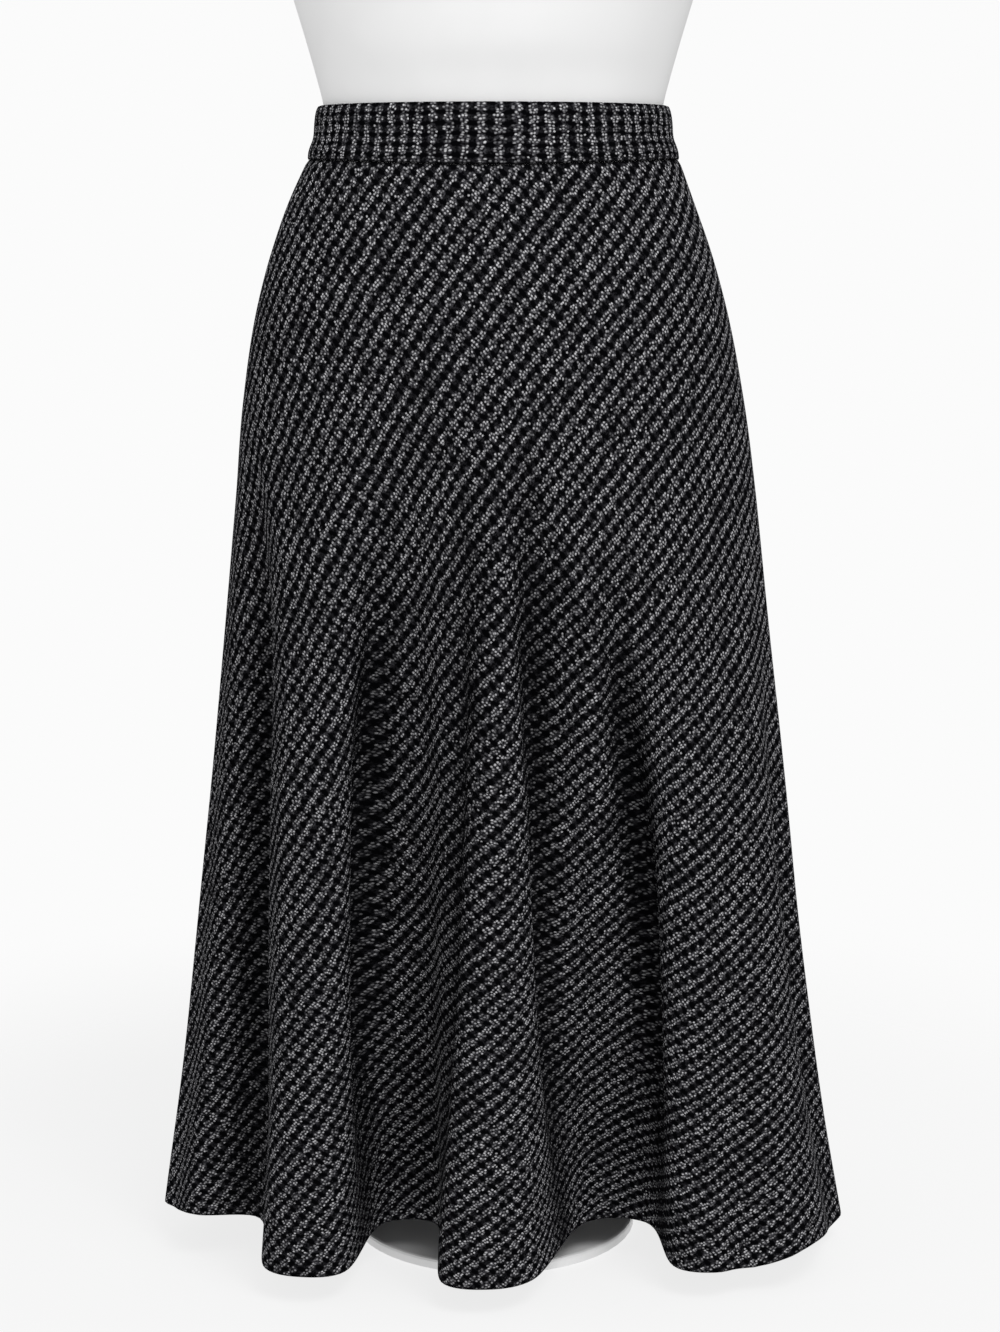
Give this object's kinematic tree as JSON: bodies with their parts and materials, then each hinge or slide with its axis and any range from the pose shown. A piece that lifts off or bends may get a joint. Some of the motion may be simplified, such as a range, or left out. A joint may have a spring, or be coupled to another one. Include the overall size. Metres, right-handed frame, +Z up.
{
  "type": "a-line midi skirt on dress form",
  "caption": "A-line midi skirt in dark flecked tweed with a plain waistband, hanging in deep soft folds on a limbless dress form with a pole and round base.",
  "frame": {"origin": "on the floor, at the middle of the base plate's underside, under the pole", "axes": "+Z up, -Y towards the skirt's front, +X towards the wearer's left"},
  "size_m": [0.475, 0.3528, 0.9],
  "materials": {
    "front_panel": "matt wool tweed, black with off-white flecks in slanting rows",
    "back_panel_left": "matt wool tweed, black with off-white flecks in slanting rows",
    "back_panel_right": "matt wool tweed, black with off-white flecks in slanting rows",
    "waistband": "matt wool tweed, doubled, flecks in upright rows",
    "zip_tape": "plain black woven tape",
    "zip_slider": "satin black enamel",
    "zip_pull": "satin black enamel",
    "dress_form": "smooth matt white",
    "pole": "smooth white paint",
    "base_plate": "smooth white paint"
  },
  "bodies": {
    "skirt_on_form": {"front_panel": "front_panel", "back_panel_left": "back_panel_left", "back_panel_right": "back_panel_right", "waistband": "waistband", "zip_tape": "zip_tape", "zip_slider": "zip_slider", "dress_form": "dress_form", "pole": "pole", "base_plate": "base_plate"},
    "pull": {"zip_pull": "zip_pull"}
  },
  "joints": [
    {"name": "zip_pull_swing", "type": "hinge", "parent": "skirt_on_form", "child": "pull", "pos_m": [0, 0.09571, 0.7716], "axis": [1, 0, 0], "range_deg": [0, 150]}
  ]
}
